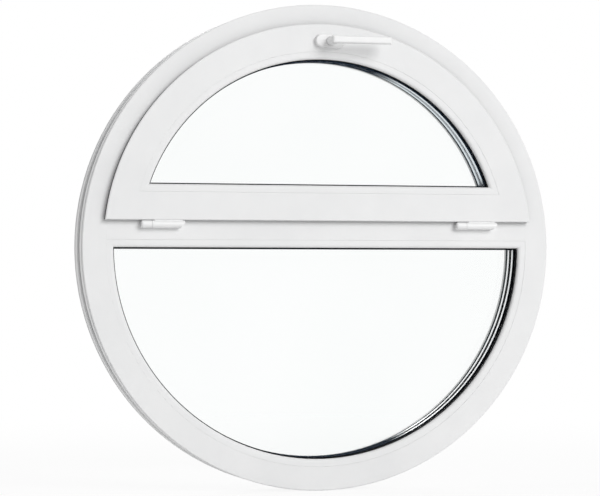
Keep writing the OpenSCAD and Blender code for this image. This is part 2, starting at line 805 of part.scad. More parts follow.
// Bracket of one stay on the frame, with the arm's pivot
module stay_bracket() {
    intersection() {
        box([stay_out_x + stay_gap, groove_y - stay_bracket_w / 2, transom_top],
            [frame_r, groove_y + stay_bracket_w / 2, transom_top + stay_bracket_h]);
        along_y(floor_r - joint_fit, y_room, y_out);
    }
    translate([0, groove_y, stay_pivot_z]) {
        bar_x(stay_w / 2, stay_out_x + fit, stay_out_x + 2 * stay_gap);
        bar_x(stay_pin_d / 2, stay_in_x, stay_out_x + 2 * stay_gap);
    }
}

// Arm of one stay with its moving pin
module stay_arm() {
    difference() {
        union() {
            box([stay_in_x, groove_y - stay_w / 2, stay_pivot_z],
                [stay_out_x, groove_y + stay_w / 2, stay_pin_z]);
            for (z = [stay_pivot_z, stay_pin_z]) translate([0, groove_y, z])
                bar_x(stay_w / 2, stay_in_x, stay_out_x);
        }
        translate([0, groove_y, stay_pivot_z])
            bar_x(stay_pin_d / 2 + run_fit, stay_in_x - over, stay_out_x + over);
    }
    translate([0, groove_y, stay_pin_z])
        bar_x(stay_pin_d / 2, side_x(stay_plate_r, stay_pin_z) - stay_pin_tip, stay_out_x);
}

// Slotted plate of one stay in the sash's groove
module stay_plate() {
    w = groove_w / 2 - fit;
    top = stay_path(0)[1] + stay_plate_end;
    bottom = stay_path(1)[1] - stay_plate_end;
    difference() {
        turned_sector([
            [stay_plate_r, groove_y - w], [stay_plate_r + stay_plate_t, groove_y - w],
            [stay_plate_r + stay_plate_t, groove_y + w], [stay_plate_r, groove_y + w]
        ], acos(top / stay_plate_r), acos(bottom / stay_plate_r));
        along_x(stay_slot, 2 * frame_r);
    }
}

module outer_frame() color(white) difference() {
    turned(frame_profile);
    for (s = [-1, 1]) {
        translate([0, chamber_y, transom_mid]) {
            bar_x(transom_screw_d / 2 + fit, s > 0 ? stop_r : -frame_r, s > 0 ? frame_r : -stop_r);
            bar_x(
                transom_screw_head_d / 2 + fit,
                s > 0 ? screw_seat : -frame_r - over, s > 0 ? frame_r + over : -screw_seat
            );
        }
        rotate([0, s * drain_angle, 0]) box(
            [-drain_w / 2, y_stop - over, -floor_r + fit], [drain_w / 2, y_out + over, -floor_r + drain_h]
        );
        keep_pocket(s * cam_angle);
    }
}
screw_seat = sqrt(pow(frame_r - rim_groove_h, 2) - pow(transom_mid, 2)) - screw_flat_h;

// Space inside the outer frame that the transom and its connectors fill
module frame_inside() {
    r = floor_r - joint_fit;
    turned([
        [0, y_room], [r, y_room], [r, y_stop - joint_fit], [stop_r - joint_fit, y_stop - joint_fit],
        [stop_r - joint_fit, y_out - stop_nose], [stop_r - joint_fit + stop_nose, y_out], [0, y_out]
    ]);
}

module transom() color(white) difference() {
    intersection() {
        along_x(transom_profile, frame_d);
        frame_inside();
    }
    box([-frame_r, chamber_y - chamber_w / 2, transom_mid - chamber_h / 2],
        [frame_r, chamber_y + chamber_w / 2, transom_mid + chamber_h / 2]);
    for (s = [-1, 1]) translate([hinge_start(s) + frame_knuckle_len / 2, 0, hinge_z])
        along_y(hinge_bolt_d / 2 + joint_fit, y_room - over, y_room + hinge_bolt_len + fit);
}

steel_half_len = floor_r - connector_len;
module transom_steel() color(metal) difference() {
    w = chamber_w / 2 - fit;
    h = chamber_h / 2 - fit;
    box([-steel_half_len, chamber_y - w, transom_mid - h], [steel_half_len, chamber_y + w, transom_mid + h]);
    box([-frame_r, chamber_y - w + steel_t, transom_mid - h + steel_t],
        [frame_r, chamber_y + w - steel_t, transom_mid + h - steel_t]);
}

module transom_connectors() color(metal) difference() {
    w = chamber_w / 2 - fit;
    h = chamber_h / 2 - fit;
    intersection() {
        for (s = [-1, 1]) box(
            [s > 0 ? steel_half_len + fit : -frame_r, chamber_y - w, transom_mid - h],
            [s > 0 ? frame_r : -steel_half_len - fit, chamber_y + w, transom_mid + h]
        );
        frame_inside();
    }
    translate([0, chamber_y, transom_mid]) bar_x(transom_screw_d / 2 + joint_fit, -frame_r, frame_r);
}

module transom_screws() color(metal) translate([0, chamber_y, transom_mid]) for (s = [0, 180])
    rotate([0, 0, s]) {
        bar_x(transom_screw_d / 2, floor_r - transom_screw_grip, screw_seat + transom_screw_head_t / 2);
        bar_x(transom_screw_head_d / 2, screw_seat, screw_seat + transom_screw_head_t);
    }

module drain_caps() color(white) for (s = [-1, 1]) rotate([0, s * drain_angle, 0]) difference() {
    top = -floor_r + drain_h + drain_cap_wall + fit;
    box([-drain_cap_w / 2, y_out, top - drain_cap_h], [drain_cap_w / 2, y_out + drain_cap_t, top]);
    box([-drain_cap_w / 2 + drain_cap_wall, y_out - over, top - drain_cap_h - over],
        [drain_cap_w / 2 - drain_cap_wall, y_out + drain_cap_t - drain_cap_wall, top - drain_cap_wall]);
}

opening = [floor_r, transom_top, 1, y_room, y_stop];
module stop_seal() color(black) d_ring(
    stop_h - stop_seal_inset - stop_seal_w, stop_h - stop_seal_inset,
    y_stop - stop_gap + seal_clear, y_stop, opening
);

module lower_inner_pane() color(clear) pane(lower, 0);
module lower_middle_pane() color(clear) pane(lower, 1);
module lower_outer_pane() color(clear) pane(lower, 2);
module lower_inner_spacer() color(metal) spacer(lower, 0);
module lower_outer_spacer() color(metal) spacer(lower, 1);
module lower_edge_seal() color(black) for (i = [0, 1]) edge_seal(lower, i);
module lower_outer_gasket() color(black) outer_gasket(lower);
module lower_bead_gasket() color(black) bead_gasket(lower);
module lower_arch_bead() color(white) arch_bead(lower);
module lower_straight_bead() color(white) straight_bead(lower);
block_half_angle = block_len / floor_r * 90 / PI;
module lower_blocks() color(black) for (s = [-1, 1]) turned_sector(
    [
        [floor_r - edge_clear + fit, glass_in(lower)], [floor_r - fit, glass_in(lower)],
        [floor_r - fit, glass_out(lower)], [floor_r - edge_clear + fit, glass_out(lower)]
    ],
    180 + s * block_angle - block_half_angle, 180 + s * block_angle + block_half_angle
);

module left_frame_knuckle() color(white) frame_knuckle(-1);
module right_frame_knuckle() color(white) frame_knuckle(1);
module left_hinge_pin() color(metal) hinge_pin(-1);
module right_hinge_pin() color(metal) hinge_pin(1);
module left_keep() color(metal) keep(-cam_angle);
module right_keep() color(metal) keep(cam_angle);

module left_stay_bracket() color(metal) mirror([1, 0, 0]) stay_bracket();
module right_stay_bracket() color(metal) stay_bracket();

sash_light = [flange_r, flange_z, 1, y_sash_room, y_sash_out];
module stud_holes() {
    for (side = [-1, 1], s = [-1, 1]) {
        x = sash_knuckle_start(side) + sash_knuckle_len / 2 + s * hinge_stud_x;
        translate([x, hinge_y, flange_z - over])
            cylinder(d = hinge_stud_d + 2 * joint_fit, h = over + hinge_stud_len + fit);
    }
}

module sash_frame() color(white) difference() {
    d_solid(sash_outside, sash_light);
    d_solid(sash_inside, sash_light);
    at_spindle() {
        box([-gearbox_half_len - fit, groove_y - groove_w / 2, -gearbox_below - fit],
            [gearbox_half_len + fit, groove_y + groove_w / 2, backset - groove_step_h - channel_h + over]);
        along_y(spindle_hole_d / 2, y_sash_room - over, groove_y);
        for (s = [-1, 1]) translate([s * fixing_x, 0, 0])
            along_y(fixing_d / 2 + fit, y_sash_room - over, groove_y);
    }
    stud_holes();
}

module lap_seal() color(black) difference() {
    d_ring(lap_seal_inset, lap_step_c - joint_fit, y_lap_edge, y_room - seal_clear, sash_light);
    stud_holes();
}

module upper_inner_pane() color(clear) pane(upper, 0);
module upper_middle_pane() color(clear) pane(upper, 1);
module upper_outer_pane() color(clear) pane(upper, 2);
module upper_inner_spacer() color(metal) spacer(upper, 0);
module upper_outer_spacer() color(metal) spacer(upper, 1);
module upper_edge_seal() color(black) for (i = [0, 1]) edge_seal(upper, i);
module upper_outer_gasket() color(black) outer_gasket(upper);
module upper_bead_gasket() color(black) bead_gasket(upper);
module upper_arch_bead() color(white) arch_bead(upper);
module upper_straight_bead() color(white) straight_bead(upper);
module upper_blocks() color(black) for (s = [-1, 1]) box(
    [s * block_x - block_len / 2, glass_in(upper), upper[1]],
    [s * block_x + block_len / 2, glass_out(upper), upper[1] + edge_clear]
);

module left_sash_knuckle() color(white) sash_knuckle(-1);
module right_sash_knuckle() color(white) sash_knuckle(1);

module left_stay_plate() color(metal) mirror([1, 0, 0]) stay_plate();
module right_stay_plate() color(metal) stay_plate();

cavity_len = rosette_len - 2 * rosette_wall;
cavity_wide = rosette_w - 2 * rosette_wall;
module handle_base() color(metal) at_spindle() difference() {
    stadium(cavity_len - 2 * fit, cavity_wide - 2 * fit, y_base, y_sash_room);
    along_y(journal_d / 2 + run_fit, y_base - over, y_sash_room + over);
    for (s = [-1, 1]) translate([s * fixing_x, 0, 0]) fixing(fit, over);
}
module handle_cover() color(white) at_spindle() difference() {
    rounded_stadium(rosette_len, rosette_w, y_sash_room, rosette_t, rosette_round);
    stadium(cavity_len, cavity_wide, y_rosette + rosette_wall, y_sash_room + over);
    along_y(neck_d / 2 + 2 * fit, y_rosette - over, y_sash_room);
}

// A countersunk screw from the base plate into the gearbox, with room around it and above it
module fixing(room, above) {
    end = groove_y + gearbox_half_w - gearbox_cover_t / 2;
    translate([0, y_base, 0]) rotate([-90, 0, 0]) rotate_extrude() polygon([
        [0, -above], [fixing_head_d / 2 + room, -above], [fixing_head_d / 2 + room, 0],
        [fixing_d / 2 + room, fixing_head_h], [fixing_d / 2 + room, end - y_base], [0, end - y_base]
    ]);
}
module handle_screws() color(metal) at_spindle() for (s = [-1, 1])
    translate([s * fixing_x, 0, 0]) fixing(0, 0);

module gearbox_case() color(metal) at_spindle() difference() {
    box([-gearbox_half_len, groove_y - gearbox_half_w, -gearbox_below],
        [gearbox_half_len, cover_y, gearbox_above]);
    along_y(pinion_out_r + pinion_clear, groove_y - pinion_w / 2 - fit, cover_y + over);
    along_y(pinion_journal_d / 2 + run_fit, groove_y - groove_w, cover_y);
    for (s = [-1, 1]) translate([s * fixing_x, 0, 0])
        along_y(fixing_d / 2 + joint_fit, groove_y - groove_w, cover_y + over);
}
module gearbox_cover() color(metal) at_spindle() difference() {
    box([-gearbox_half_len, cover_y, -gearbox_below],
        [gearbox_half_len, cover_y + gearbox_cover_t, gearbox_above]);
    along_y(pinion_journal_d / 2 + run_fit, cover_y - over, cover_y + groove_w);
    for (s = [-1, 1]) translate([s * fixing_x, 0, 0])
        along_y(fixing_d / 2 + joint_fit, cover_y - over, cover_y + groove_w);
}
module lock_faceplate() color(metal) difference() {
    w = groove_w / 2 - fit;
    turned_sector([
        [plate_inner_r, groove_y - w], [plate_inner_r + faceplate_t, groove_y - w],
        [plate_inner_r + faceplate_t, groove_y + w], [plate_inner_r, groove_y + w]
    ], -faceplate_half_angle, faceplate_half_angle);
    slot_w = cam_stem_d / 2 + cam_slot_play;
    slot_l = slot_w + rod_turn * PI / 360 * rod_outer_r;
    at_cams(rod_turn / 2) box([-slot_l, groove_y - slot_w, rod_outer_r - over],
        [slot_l, groove_y + slot_w, floor_r]);
}

// Rectangle with rounded corners, from the origin
module rounded_rect(w, h, r) {
    translate([r, 0]) square([w - 2 * r, h]);
    translate([0, r]) square([w, h - 2 * r]);
    for (x = [r, w - r], y = [r, h - r]) translate([x, y]) circle(r);
}

// Tapered bar of the lever with rounded edges
module lever_bar() {
    half = lever_w / 2;
    length = half + lever_len;
    corner = [-half, y_lever - lever_t, -half];
    intersection() {
        translate(corner) rotate([90, 0, 90]) linear_extrude(height = length)
            rounded_rect(lever_t, lever_w, lever_round);
        translate(corner) linear_extrude(height = lever_w) rounded_rect(length, lever_t, lever_round);
        slab([
            [-half, -half], [lever_len, -lever_tip_w / 2], [lever_len, lever_tip_w / 2], [-half, half]
        ], y_lever - lever_t / 2, lever_t + 2 * over);
    }
}
module handle_lever() color(white) at_lever() difference() {
    union() {
        along_y(neck_d / 2, y_lever - lever_round, y_base - neck_gap);
        along_y(journal_d / 2, y_base - neck_gap - over, y_sash_room - fit);
        lever_bar();
    }
    box([-spindle_w / 2 - joint_fit, y_base - neck_gap - spindle_grip, -spindle_w / 2 - joint_fit],
        [spindle_w / 2 + joint_fit, y_sash_room + over, spindle_w / 2 + joint_fit]);
}
module handle_spindle() color(metal) at_lever()
    box([-spindle_w / 2, y_base - neck_gap - spindle_grip + fit, -spindle_w / 2],
        [spindle_w / 2, groove_y + gearbox_half_w - fit, spindle_w / 2]);
module lock_pinion() color(metal) difference() {
    at_spindle() {
        slab(pinion_outline, groove_y, pinion_w);
        along_y(pinion_journal_d / 2, groove_y - gearbox_half_w + fit, groove_y + gearbox_half_w - fit);
    }
    at_lever() box([-spindle_w / 2 - joint_fit, groove_y - groove_w, -spindle_w / 2 - joint_fit],
        [spindle_w / 2 + joint_fit, groove_y + groove_w, spindle_w / 2 + joint_fit]);
}

module drive_rod() color(metal) difference() {
    turned_sector([
        [rod_inner_r, groove_y - rod_w / 2], [rod_outer_r, groove_y - rod_w / 2],
        [rod_outer_r, groove_y + rod_w / 2], [rod_inner_r, groove_y + rod_w / 2]
    ], -rod_half_angle, rod_half_angle);
    for (i = [-9:5]) rotate([0, handle_angle + i * rack_pitch_angle, 0])
        slab(rack_space, groove_y, 2 * rod_w);
    at_cams(0) translate([0, groove_y, rod_inner_r - over])
        cylinder(d = cam_rivet_d + 2 * joint_fit, h = rod_outer_r - rod_inner_r + 2 * over);
}
module lock_cams() color(metal) at_cams(0) translate([0, groove_y, 0]) {
    translate([0, 0, rod_inner_r + fit]) cylinder(d = cam_rivet_d, h = cam_top_r - rod_inner_r - fit);
    translate([0, 0, rod_outer_r + fit]) cylinder(d = cam_stem_d, h = cam_top_r - rod_outer_r - fit);
    translate([0, 0, cam_top_r - cam_head_t]) cylinder(d = cam_head_d, h = cam_head_t);
}

module left_stay_arm() color(metal) mirror([1, 0, 0]) stay_arm();
module right_stay_arm() color(metal) stay_arm();

outer_frame();
transom();
transom_steel();
transom_connectors();
transom_screws();
drain_caps();
stop_seal();
lower_inner_pane();
lower_middle_pane();
lower_outer_pane();
lower_inner_spacer();
lower_outer_spacer();
lower_edge_seal();
lower_outer_gasket();
lower_bead_gasket();
lower_arch_bead();
lower_straight_bead();
lower_blocks();
left_frame_knuckle();
right_frame_knuckle();
left_hinge_pin();
right_hinge_pin();
left_keep();
right_keep();
left_stay_bracket();
right_stay_bracket();
sash_frame();
lap_seal();
upper_inner_pane();
upper_middle_pane();
upper_outer_pane();
upper_inner_spacer();
upper_outer_spacer();
upper_edge_seal();
upper_outer_gasket();
upper_bead_gasket();
upper_arch_bead();
upper_straight_bead();
upper_blocks();
left_sash_knuckle();
right_sash_knuckle();
left_stay_plate();
right_stay_plate();
handle_base();
handle_cover();
handle_screws();
gearbox_case();
gearbox_cover();
lock_faceplate();
handle_lever();
handle_spindle();
lock_pinion();
drive_rod();
lock_cams();
left_stay_arm();
right_stay_arm();
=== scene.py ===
"""Round window with a tilting upper sash: materials, screw heads, floor, light and camera."""

import json
import math

import bpy
import bmesh
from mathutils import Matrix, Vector
from mathutils.geometry import tessellate_polygon


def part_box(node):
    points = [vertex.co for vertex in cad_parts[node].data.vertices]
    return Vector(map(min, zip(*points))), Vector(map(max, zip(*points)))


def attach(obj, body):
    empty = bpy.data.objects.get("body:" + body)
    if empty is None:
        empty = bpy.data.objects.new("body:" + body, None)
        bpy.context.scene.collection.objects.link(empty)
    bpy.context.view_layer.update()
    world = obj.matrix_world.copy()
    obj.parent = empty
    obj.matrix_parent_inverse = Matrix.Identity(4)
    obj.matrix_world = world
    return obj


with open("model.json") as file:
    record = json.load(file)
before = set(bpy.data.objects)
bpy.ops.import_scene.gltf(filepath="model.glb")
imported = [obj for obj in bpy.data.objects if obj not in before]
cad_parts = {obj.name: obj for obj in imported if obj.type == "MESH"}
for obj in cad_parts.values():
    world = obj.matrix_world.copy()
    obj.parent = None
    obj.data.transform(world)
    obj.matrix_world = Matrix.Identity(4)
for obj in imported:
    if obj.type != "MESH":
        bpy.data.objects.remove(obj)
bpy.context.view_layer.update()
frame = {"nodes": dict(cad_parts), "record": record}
nodes = frame["nodes"]

# Picture and camera, in pixels, degrees, metres and millimetres of sensor
PICTURE_W = 600
PICTURE_H = 496
FOCAL_PX = 2347.0
AZIMUTH = -17.0
DISTANCE = 4.87
CAMERA_Z = -0.056
CENTRE_PX = (315.5, 247.7)
SENSOR_W = 36.0
CLIP_END = 100.0

# Materials: the part of a noise that is used, and the depth of a relief in metres
NOISE_RANGE = (0.3, 0.7)
RELIEF_DEPTH = 0.0002

# Edge of the glass units: half of the width, softness of the sealant's line, grain, and the colour
# of the sealant, which is also the painted shade where the edge runs level
EDGE_HALF = 0.5
LINE_SOFTNESS = 0.02
EDGE_PATCHES = 30.0
EDGE_GRAIN = 900.0
EDGE_ROUGH = (0.3, 0.42)
EDGE_RELIEF = 0.06
SEALANT_AND_SHADE_DARK = (0.012, 0.022, 0.038)
SEALANT_AND_SHADE_LIGHT = (0.02, 0.036, 0.06)

# Glass
GLASS_DARK = (0.984, 0.99, 0.988)
GLASS_LIGHT = (0.992, 0.996, 0.995)
GLASS_WAVES = 3.0
GLASS_IOR = 1.5
GLASS_GLOSS = (0.2, 0.2, 0.2, 1.0)

# Screw heads: metres and radians, then shares of a head's radius and height
HEAD_HEIGHT = 0.0005
HEAD_SINK = 0.0004
HEAD_SIDES = 32
TURN_STEP = 0.7
HEAD_RINGS = ((1.0, 0.55), (0.93, 0.85), (0.8, 1.0))
CROSS_ARM = 0.6
CROSS_HALF = 0.13
CROSS_TAPER = 0.8
CROSS_FLOOR = 0.2

# Places of the screws, in metres and in degrees from the top
PLATE_SCREW_R = 0.0024
PLATE_END_GAP = 0.7
KEEP_SCREW_R = 0.0023
KEEP_ANGLES = (-35.8, -33.4, 35.6, 38.2)
KEEP_LIFT = 0.0002
KEEP_EDGE_GAP = 0.003
STAY_SCREW_R = 0.0021
STAY_END_GAP = 0.0035

# World and floor, in metres and shares of white
WHITE = (1.0, 1.0, 1.0, 1.0)
WORLD_LIGHT = 0.34
FLOOR_COLOUR = (0.9, 0.9, 0.9, 1.0)
FLOOR_Z = -0.5005
FLOOR_HALF = 30.0
NEAR = 0.8
FAR = 2.6
NEAR_GLOW = 0.9
BACKGROUND_RAYS = ("Is Camera Ray", "Is Glossy Ray", "Is Transmission Ray")

# Lights: place and size in metres, power in watts
LIGHTS = {
    "key": ((7.4, -15.6, 7.7), 10.4, 2190.0),
    "rim": ((-4.4, 1.2, 2.9), 2.0, 42.0),
    "back": ((2.6, 7.0, 4.0), 4.0, 260.0),
}


def new_tree(owner, output_type):
    """A node tree that is empty apart from its output."""
    owner.use_nodes = True
    tree = owner.node_tree
    tree.nodes.clear()
    return tree, tree.nodes.new(output_type)


def new_material(name):
    """A material whose shader goes straight to the output."""
    material = bpy.data.materials.new(name)
    tree, output = new_tree(material, "ShaderNodeOutputMaterial")
    shader = tree.nodes.new("ShaderNodeBsdfPrincipled")
    tree.links.new(shader.outputs["BSDF"], output.inputs["Surface"])
    return material, tree, shader


def calculate(tree, operation, *values):
    """The result of one step of arithmetic on linked values and plain numbers."""
    node = tree.nodes.new("ShaderNodeMath")
    node.operation = operation
    for socket, value in zip(node.inputs, values):
        if isinstance(value, float):
            socket.default_value = value
        else:
            tree.links.new(value, socket)
    return node.outputs["Value"]


def map_range(tree, value, source=(0.0, 1.0), target=(0.0, 1.0), kind="LINEAR"):
    """Maps a value from the source range to the target range."""
    node = tree.nodes.new("ShaderNodeMapRange")
    node.interpolation_type = kind
    limits = ("From Min", "From Max", "To Min", "To Max")
    for limit, number in zip(limits, (*source, *target)):
        node.inputs[limit].default_value = number
    tree.links.new(value, node.inputs["Value"])
    return node.outputs["Result"]


def vector_step(tree, operation, vector):
    """A vector node with its first input linked."""
    node = tree.nodes.new("ShaderNodeVectorMath")
    node.operation = operation
    tree.links.new(vector, node.inputs[0])
    return node


def coordinate(tree, vector, axis):
    """One coordinate of a vector."""
    parts = tree.nodes.new("ShaderNodeSeparateXYZ")
    tree.links.new(vector, parts.inputs["Vector"])
    return parts.outputs[axis]


def any_ray(tree, *kinds):
    """One for rays of any of these kinds, and zero for the others."""
    path = tree.nodes.new("ShaderNodeLightPath")
    found = path.outputs[kinds[0]]
    for kind in kinds[1:]:
        found = calculate(tree, "MAXIMUM", found, path.outputs[kind])
    return found


def mix_shaders(tree, share, first, second):
    """Sends the second shader to the output by its share, and the first by the rest."""
    output = next(n for n in tree.nodes if n.type == "OUTPUT_MATERIAL")
    mixed = tree.nodes.new("ShaderNodeMixShader")
    tree.links.new(share, mixed.inputs["Fac"])
    tree.links.new(first, mixed.inputs[1])
    tree.links.new(second, mixed.inputs[2])
    tree.links.new(mixed.outputs["Shader"], output.inputs["Surface"])


def noise(tree, scale, detail=2.0, roughness=0.5):
    """A noise value in the part's own coordinates."""
    coordinates = tree.nodes.new("ShaderNodeTexCoord")
    texture = tree.nodes.new("ShaderNodeTexNoise")
    texture.inputs["Scale"].default_value = scale
    texture.inputs["Detail"].default_value = detail
    texture.inputs["Roughness"].default_value = roughness
    tree.links.new(coordinates.outputs["Object"], texture.inputs["Vector"])
    return texture.outputs["Fac"]


def tint(tree, value, dark, light):
    """Maps a noise to a colour between dark and light."""
    ramp = tree.nodes.new("ShaderNodeValToRGB")
    for element, position, colour in zip(ramp.color_ramp.elements, NOISE_RANGE, (dark, light)):
        element.position = position
        element.color = (*colour, 1.0)
    tree.links.new(value, ramp.inputs["Fac"])
    return ramp.outputs["Color"]


def dress(tree, shader, patches, fine, dark, light, rough, grain, metallic):
    """Colour from the patches, gloss and relief from the fine noise."""
    tree.links.new(tint(tree, patches, dark, light), shader.inputs["Base Color"])
    tree.links.new(map_range(tree, fine, NOISE_RANGE, rough), shader.inputs["Roughness"])
    bump = tree.nodes.new("ShaderNodeBump")
    bump.inputs["Strength"].default_value = grain
    bump.inputs["Distance"].default_value = RELIEF_DEPTH
    tree.links.new(fine, bump.inputs["Height"])
    tree.links.new(bump.outputs["Normal"], shader.inputs["Normal"])
    shader.inputs["Metallic"].default_value = metallic


def surface(name, dark, light, rough, patch_scale, grain_scale, grain, metallic=0.0, specular=0.5):
    """A surface whose colour, gloss and relief vary at the scale of the real material."""
    material, tree, shader = new_material(name)
    patches = noise(tree, patch_scale, detail=3.0, roughness=0.6)
    fine = noise(tree, grain_scale)
    dress(tree, shader, patches, fine, dark, light, rough, grain, metallic)
    shader.inputs["Specular IOR Level"].default_value = specular
    return material


def edge_part(name, dark, light, metallic, shade_start, shade_full, band):
    """A part of the glass edge with a band of sealant along both of its sides.

    Where it runs level it is painted in the sealant's dark colour as a painted
    shade, standing in for the dark reflection it shows there, as the upright
    share of its direction outward goes between the two given limits.
    """
    material, tree, shader = new_material(name)
    coordinates = tree.nodes.new("ShaderNodeTexCoord")
    radial = vector_step(tree, "MULTIPLY", coordinates.outputs["Normal"])
    radial.inputs[1].default_value = (1.0, 0.0, 1.0)
    outward = vector_step(tree, "NORMALIZE", radial.outputs["Vector"])
    upright = calculate(tree, "ABSOLUTE", coordinate(tree, outward.outputs["Vector"], "Z"))
    # painted shade: the part goes dark where it runs level, by how upright its outward direction
    # is
    level = map_range(tree, upright, (shade_start, shade_full), kind="SMOOTHSTEP")
    depth = coordinate(tree, coordinates.outputs["Generated"], "Y")
    across = calculate(tree, "PINGPONG", depth, EDGE_HALF)
    line = (band + LINE_SOFTNESS, band - LINE_SOFTNESS)
    side = map_range(tree, across, line, kind="SMOOTHSTEP")
    patches = noise(tree, EDGE_PATCHES)
    fine = noise(tree, EDGE_GRAIN)
    dress(tree, shader, patches, fine, dark, light, EDGE_ROUGH, EDGE_RELIEF, metallic)
    # the sealant's colour, for its bands along the sides and for the painted shade where the part
    # runs level
    sealant = tree.nodes.new("ShaderNodeBsdfDiffuse")
    tree.links.new(tint(tree, fine, SEALANT_AND_SHADE_DARK, SEALANT_AND_SHADE_LIGHT), sealant.inputs["Color"])
    share = calculate(tree, "MAXIMUM", level, side)
    mix_shaders(tree, share, shader.outputs["BSDF"], sealant.outputs["BSDF"])
    return material


def clear_glass():
    """Float glass with a trace of green, which lets the light of the studio straight through."""
    material, tree, shader = new_material("float_glass")
    waves = noise(tree, GLASS_WAVES, detail=1.0)
    tree.links.new(tint(tree, waves, GLASS_DARK, GLASS_LIGHT), shader.inputs["Base Color"])
    shader.inputs["Roughness"].default_value = 0.0
    shader.inputs["IOR"].default_value = GLASS_IOR
    shader.inputs["Specular Tint"].default_value = GLASS_GLOSS
    shader.inputs["Transmission Weight"].default_value = 1.0
    passing = tree.nodes.new("ShaderNodeBsdfTransparent")
    light_rays = any_ray(tree, "Is Shadow Ray", "Is Diffuse Ray")
    mix_shaders(tree, light_rays, shader.outputs["BSDF"], passing.outputs["BSDF"])
    return material


# Materials of the pieces
plastic = surface(
    "window_plastic", dark=(0.80, 0.803, 0.806), light=(0.835, 0.837, 0.838),
    rough=(0.46, 0.56), patch_scale=9.0, grain_scale=900.0, grain=0.08, specular=0.3,
)
lacquer = surface(
    "white_lacquer", dark=(0.835, 0.837, 0.838), light=(0.865, 0.866, 0.866),
    rough=(0.34, 0.44), patch_scale=40.0, grain_scale=1600.0, grain=0.12,
)
rubber = surface(
    "seal_rubber", dark=(0.006, 0.0065, 0.0075), light=(0.012, 0.0125, 0.014),
    rough=(0.55, 0.75), patch_scale=60.0, grain_scale=1800.0, grain=0.2, specular=0.1,
)
weather_rubber = surface(
    "weather_rubber", dark=(0.008, 0.026, 0.03), light=(0.014, 0.038, 0.042),
    rough=(0.55, 0.75), patch_scale=60.0, grain_scale=1800.0, grain=0.2, specular=0.1,
)
edge_sealant = surface(
    "edge_sealant", dark=(0.006, 0.007, 0.009), light=(0.012, 0.0135, 0.016),
    rough=(0.7, 0.85), patch_scale=60.0, grain_scale=1500.0, grain=0.25, specular=0.0,
)
zinc = surface(
    "zinc_plate", dark=(0.52, 0.53, 0.55), light=(0.68, 0.69, 0.7),
    rough=(0.26, 0.44), patch_scale=90.0, grain_scale=1200.0, grain=0.15, metallic=1.0,
)
dark_plastic = surface(
    "block_plastic", dark=(0.035, 0.036, 0.04), light=(0.06, 0.061, 0.066),
    rough=(0.45, 0.6), patch_scale=50.0, grain_scale=1500.0, grain=0.15,
)
glass = clear_glass()
# spacers and the upper sealant carry painted shade where they run level
upper_spacer = edge_part(
    "upper_spacer_metal", dark=(0.78, 0.85, 0.89), light=(0.84, 0.9, 0.94),
    metallic=1.0, shade_start=0.88, shade_full=0.96, band=0.1,
)
upper_sealant = edge_part(
    "upper_sealant", dark=(0.46, 0.51, 0.56), light=(0.52, 0.57, 0.62),
    metallic=0.0, shade_start=0.88, shade_full=0.96, band=0.16,
)
lower_spacer = edge_part(
    "lower_spacer_metal", dark=(0.9, 0.91, 0.92), light=(0.95, 0.955, 0.96),
    metallic=1.0, shade_start=0.84, shade_full=0.94, band=0.28,
)
by_slot = {
    "frame_white": plastic,
    "hardware_white": lacquer,
    "seal_black": rubber,
    "glass": glass,
    "steel": zinc,
    "block": dark_plastic,
}
slots = {s["node"]: s["material_slot"] for s in frame["record"]["subparts"]}
for name, node in nodes.items():
    if name == "upper_edge_seal":
        chosen = upper_sealant
    elif name == "lower_edge_seal":
        chosen = edge_sealant
    elif name.endswith("outer_gasket"):
        chosen = weather_rubber
    elif slots[name] == "spacer":
        chosen = upper_spacer if name.startswith("upper") else lower_spacer
    else:
        chosen = by_slot[slots[name]]
    node.data.materials.clear()
    node.data.materials.append(chosen)


def screw_head(into, place, normal, radius, height, turn):
    """Adds a low screw head with a cross recess to a mesh under construction."""
    up = Vector(normal).normalized()
    side = Vector((0.0, 1.0, 0.0))
    across = side.cross(up)

    def at(x, y, z):
        return into.verts.new(Vector(place) + x * side + y * across + z * up)

    angles = [2.0 * math.pi * i / HEAD_SIDES for i in range(HEAD_SIDES)]
    outline = [(radius, -HEAD_SINK)] + [(r * radius, h * height) for r, h in HEAD_RINGS]
    rings = [[at(r * math.cos(a), r * math.sin(a), z) for a in angles] for r, z in outline]
    for low, high in zip(rings, rings[1:]):
        for i in range(HEAD_SIDES):
            into.faces.new((low[i - 1], low[i], high[i], high[i - 1]))
    arm = CROSS_ARM * radius
    half = CROSS_HALF * radius
    quarter = [(half, half), (half, arm), (-half, arm)]
    cross = []
    for _ in range(4):
        cross += quarter
        quarter = [(-y, x) for x, y in quarter]
    cos, sin = math.cos(turn), math.sin(turn)
    cross = [(x * cos - y * sin, x * sin + y * cos) for x, y in cross]
    mouth = [at(x, y, height) for x, y in cross]
    bottom = [at(CROSS_TAPER * x, CROSS_TAPER * y, CROSS_FLOOR * height) for x, y in cross]
    rim = rings[-1] + mouth
    for corners in tessellate_polygon([[v.co for v in rings[-1]], [v.co for v in mouth]]):
        into.faces.new([rim[i] for i in corners])
    for i in range(len(mouth)):
        into.faces.new((mouth[i - 1], mouth[i], bottom[i], bottom[i - 1]))
    for corners in tessellate_polygon([[v.co for v in bottom]]):
        into.faces.new([bottom[i] for i in corners])


def screws(name, body, seats, radius):
    """One piece of several screw heads, each seated on a face of the part."""
    made = bmesh.new()
    for number, (place, normal) in enumerate(seats):
        screw_head(made, place, normal, radius, HEAD_HEIGHT, TURN_STEP * number)
    bmesh.ops.recalc_face_normals(made, faces=made.faces)
    mesh = bpy.data.meshes.new(name)
    made.to_mesh(mesh)
    made.free()
    mesh.materials.append(zinc)
    piece = bpy.data.objects.new(name, mesh)
    bpy.context.scene.collection.objects.link(piece)
    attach(piece, body)


def on_arc(radius, degrees, y, facing=1.0):
    """A seat on a face around the window's axis, facing outward at 1 and inward at -1."""
    out = Vector((math.sin(math.radians(degrees)), 0.0, math.cos(math.radians(degrees))))
    return out * radius + Vector((0.0, y, 0.0)), out * facing


